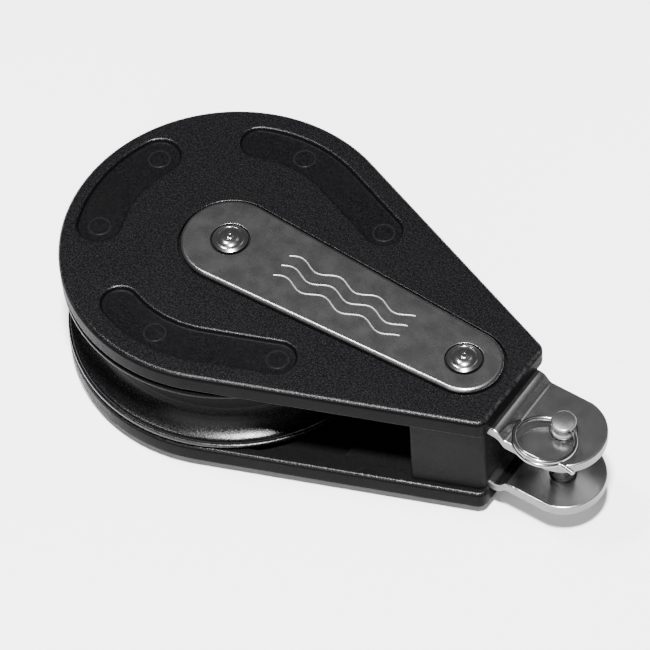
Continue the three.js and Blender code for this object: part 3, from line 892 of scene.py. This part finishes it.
def spacer():
    s = Shell()
    profile = edge_up(SPACER_EDGE, SPACER_LOW, 4) + fillet(SPACER_EDGE, SPACER_HIGH, 4)
    first = s.loop(spacer_outline(profile[0][0]), profile[0][1])
    last = s.stack(spacer_outline, profile[1:], first)
    s.fill(first)
    s.fill(last)
    channel = tang_channel(NOSE_X + 1)
    inner = TANG_OUT - TANG_THICK - FACE_GAP
    return carve(
        s.mesh("spacer"),
        prism(channel, inner, SPACER_HIGH + BEYOND),
        prism(channel, SPACER_LOW - BEYOND, 2 * MID - inner),
        prism(ring(PITCH, 0, TAIL_SLEEVE_R + SLIP), SPACER_LOW - 5, SPACER_HIGH + 5),
    )


place(spacer(), "tail_spacer_fine", "tail_spacer", "frame", SPACER_NYLON)


# ---------------------------------------------------------------- clevis pin

PIN_HEAD_THICK = 1.6
NECK_R = 2.3
CROSS_HOLE_R = 1.05
CROSS_HOLE = Matrix.Translation((PIN_X, 0, HOLE_Z)) @ Matrix.Rotation(PIN_TURN, 4, "Z")


def clevis_pin():
    under = PIN_LOW + PIN_HEAD_THICK
    head = [
        (0, PIN_LOW), (PIN_HEAD_R - 0.6, PIN_LOW), (PIN_HEAD_R - 0.25, PIN_LOW + 0.12),
        (PIN_HEAD_R - 0.05, PIN_LOW + 0.4), (PIN_HEAD_R, PIN_LOW + 0.6), (PIN_HEAD_R, under - 0.15),
        (PIN_HEAD_R - 0.15, under), (PIN_R + 0.12, under), (PIN_R, under + 0.1),
    ]
    # Radius and depth below the pin's top.
    neck = [
        (PIN_R, 3.2), (PIN_R - 0.12, 3.0), (NECK_R + 0.1, 2.9), (NECK_R, 2.75),
        (NECK_R, 1.15), (NECK_R + 0.15, 1.0), (PIN_R - 0.15, 0.95),
    ]
    top = [(PIN_R, 0.8), (PIN_R, 0.35), (PIN_R - 0.06, 0.2), (PIN_R - 0.18, 0.06), (PIN_R - 0.32, 0), (0, 0)]
    profile = head + [(r, PIN_TOP - depth) for r, depth in neck + top]
    body = lathe(profile, 96, PIN_X).mesh("pin")
    drill = prism(ring(0, 0, CROSS_HOLE_R, 32), -2 * PIN_R, 2 * PIN_R)
    drill.data.transform(CROSS_HOLE @ Matrix.Rotation(QUARTER, 4, "Y"))
    return carve(body, drill)


place(clevis_pin(), "clevis_pin_fine", "clevis_pin", "pin", PIN_STEEL, sharp=35)


# ---------------------------------------------------------------- split ring

RING_R, WIRE_R, WIRE_SIDES = 7.2, 0.55, 14
RING_PITCH, RING_TILT = 1.25, math.radians(9)
RING_START, RING_END, RING_STEPS = math.radians(-180), math.radians(333), 256
BEND_R, BEND, BEND_STEPS = 1.4, math.radians(64), 8
STUB_STEPS = (0.8, 1.6, 2.4, 2.9, 3.1, 3.2)  # distances along the straight end
END_SIZES = [0.72, 0.93]  # the wire's size at its very end and one step in


def ring_spine():
    """Centre line of the wire: one and a half turns through the cross hole, then an end bent outward."""
    offset = (RING_R + math.sqrt(RING_R**2 - PIN_R**2)) / 2

    def turn_point(r, a):
        return Vector((r * math.cos(a), r * math.sin(a) - offset, RING_PITCH * (QUARTER - a) / TAU))

    coil = [RING_START + (RING_END - RING_START) * i / RING_STEPS for i in range(RING_STEPS + 1)]
    spine = [turn_point(RING_R, a) for a in coil]
    centre = turn_point(RING_R + BEND_R, RING_END)
    for i in range(1, BEND_STEPS + 1):
        a = RING_END + math.pi - BEND * i / BEND_STEPS
        spine.append(centre + Vector((BEND_R * math.cos(a), BEND_R * math.sin(a), 0)))
    bend_end = spine[-1]
    along = RING_END + QUARTER - BEND
    spine += [bend_end + d * Vector((math.cos(along), math.sin(along), 0)) for d in STUB_STEPS]
    turn = CROSS_HOLE @ Matrix.Rotation(-RING_TILT, 4, "X")
    return [turn @ p for p in spine]


def split_ring():
    spine = ring_spine()
    last = len(spine) - 1
    sizes = END_SIZES + [1.0] * (last - 3) + END_SIZES[::-1]
    angles = [TAU * j / WIRE_SIDES for j in range(WIRE_SIDES)]
    s = Shell()
    rings = []
    for i, p in enumerate(spine):
        d = (spine[min(i + 1, last)] - spine[max(i - 1, 0)]).normalized()
        u = d.cross(Vector((0, 0, 1))).normalized()
        v = u.cross(d)
        k = sizes[i] * WIRE_R
        rings.append([s.bm.verts.new(p + k * (u * math.cos(a) + v * math.sin(a))) for a in angles])
    s.bridge_all(rings)
    s.bm.faces.new(rings[0])
    s.bm.faces.new(rings[-1])
    return s.mesh("ring")


place(split_ring(), "split_ring_fine", "split_ring", "ring", WIRE_STEEL, sharp=50)


# ---------------------------------------------------------------- floor, light and surroundings

FLOOR_HALF, FLOOR_Z = 4000, -0.02


def make_floor():
    s = Shell()
    corners = [(FLOOR_HALF * x, FLOOR_HALF * y) for x, y in ((-1, -1), (1, -1), (1, 1), (-1, 1))]
    s.fill(s.loop(corners, FLOOR_Z))
    floor = s.mesh("floor")
    floor.data.transform(Matrix.Scale(MM, 4))
    paper, tree, shader, coord = graph_for("pale_floor")
    tone = blend_colour(tree, noise(tree, coord, 3), grey(0.9), grey(0.92))
    tree.links.new(tone, shader.inputs["Base Color"])
    shader.inputs["Roughness"].default_value = 0.9
    floor.data.materials.append(paper)


def area_light(name, direction, distance, size, power):
    """Rectangular lamp that looks at AIM from a direction."""
    data = bpy.data.lights.new(name, "AREA")
    data.shape = "RECTANGLE"
    data.size, data.size_y = size
    data.energy = power
    light = bpy.data.objects.new(name, data)
    d = Vector(direction).normalized()
    turn = d.to_track_quat("Z", "Y").to_matrix().to_4x4()
    light.matrix_world = Matrix.Translation(AIM + d * distance) @ turn
    bpy.context.scene.collection.objects.link(light)


def make_surroundings():
    """A dim grey studio, darker overhead."""
    world = bpy.data.worlds.new("studio")
    bpy.context.scene.world = world
    world.use_nodes = True
    sky = world.node_tree
    background = sky.nodes["Background"]
    where = sky.nodes.new("ShaderNodeTexCoord")
    split = sky.nodes.new("ShaderNodeSeparateXYZ")
    sky.links.new(where.outputs["Generated"], split.inputs["Vector"])
    height = ramp(sky, split.outputs["Z"], 0.05, 0.45)
    tone = blend_colour(sky, height, grey(0.16), grey(0.11))
    sky.links.new(tone, background.inputs["Color"])
    background.inputs["Strength"].default_value = 1.5


make_floor()
area_light("key_softbox", direction=(0.18, -0.25, 0.951), distance=1.4, size=(0.12, 0.12), power=96)
area_light("second_softbox", direction=(-0.3, -0.1, 0.95), distance=1.4, size=(0.3, 0.2), power=18)
area_light("back_light", direction=(0.08, 0.48, 0.87), distance=1.4, size=(0.4, 0.26), power=0.4)
area_light("front_fill", direction=(0.2, -0.85, 0.5), distance=1.6, size=(1.4, 1.0), power=10)
make_surroundings()
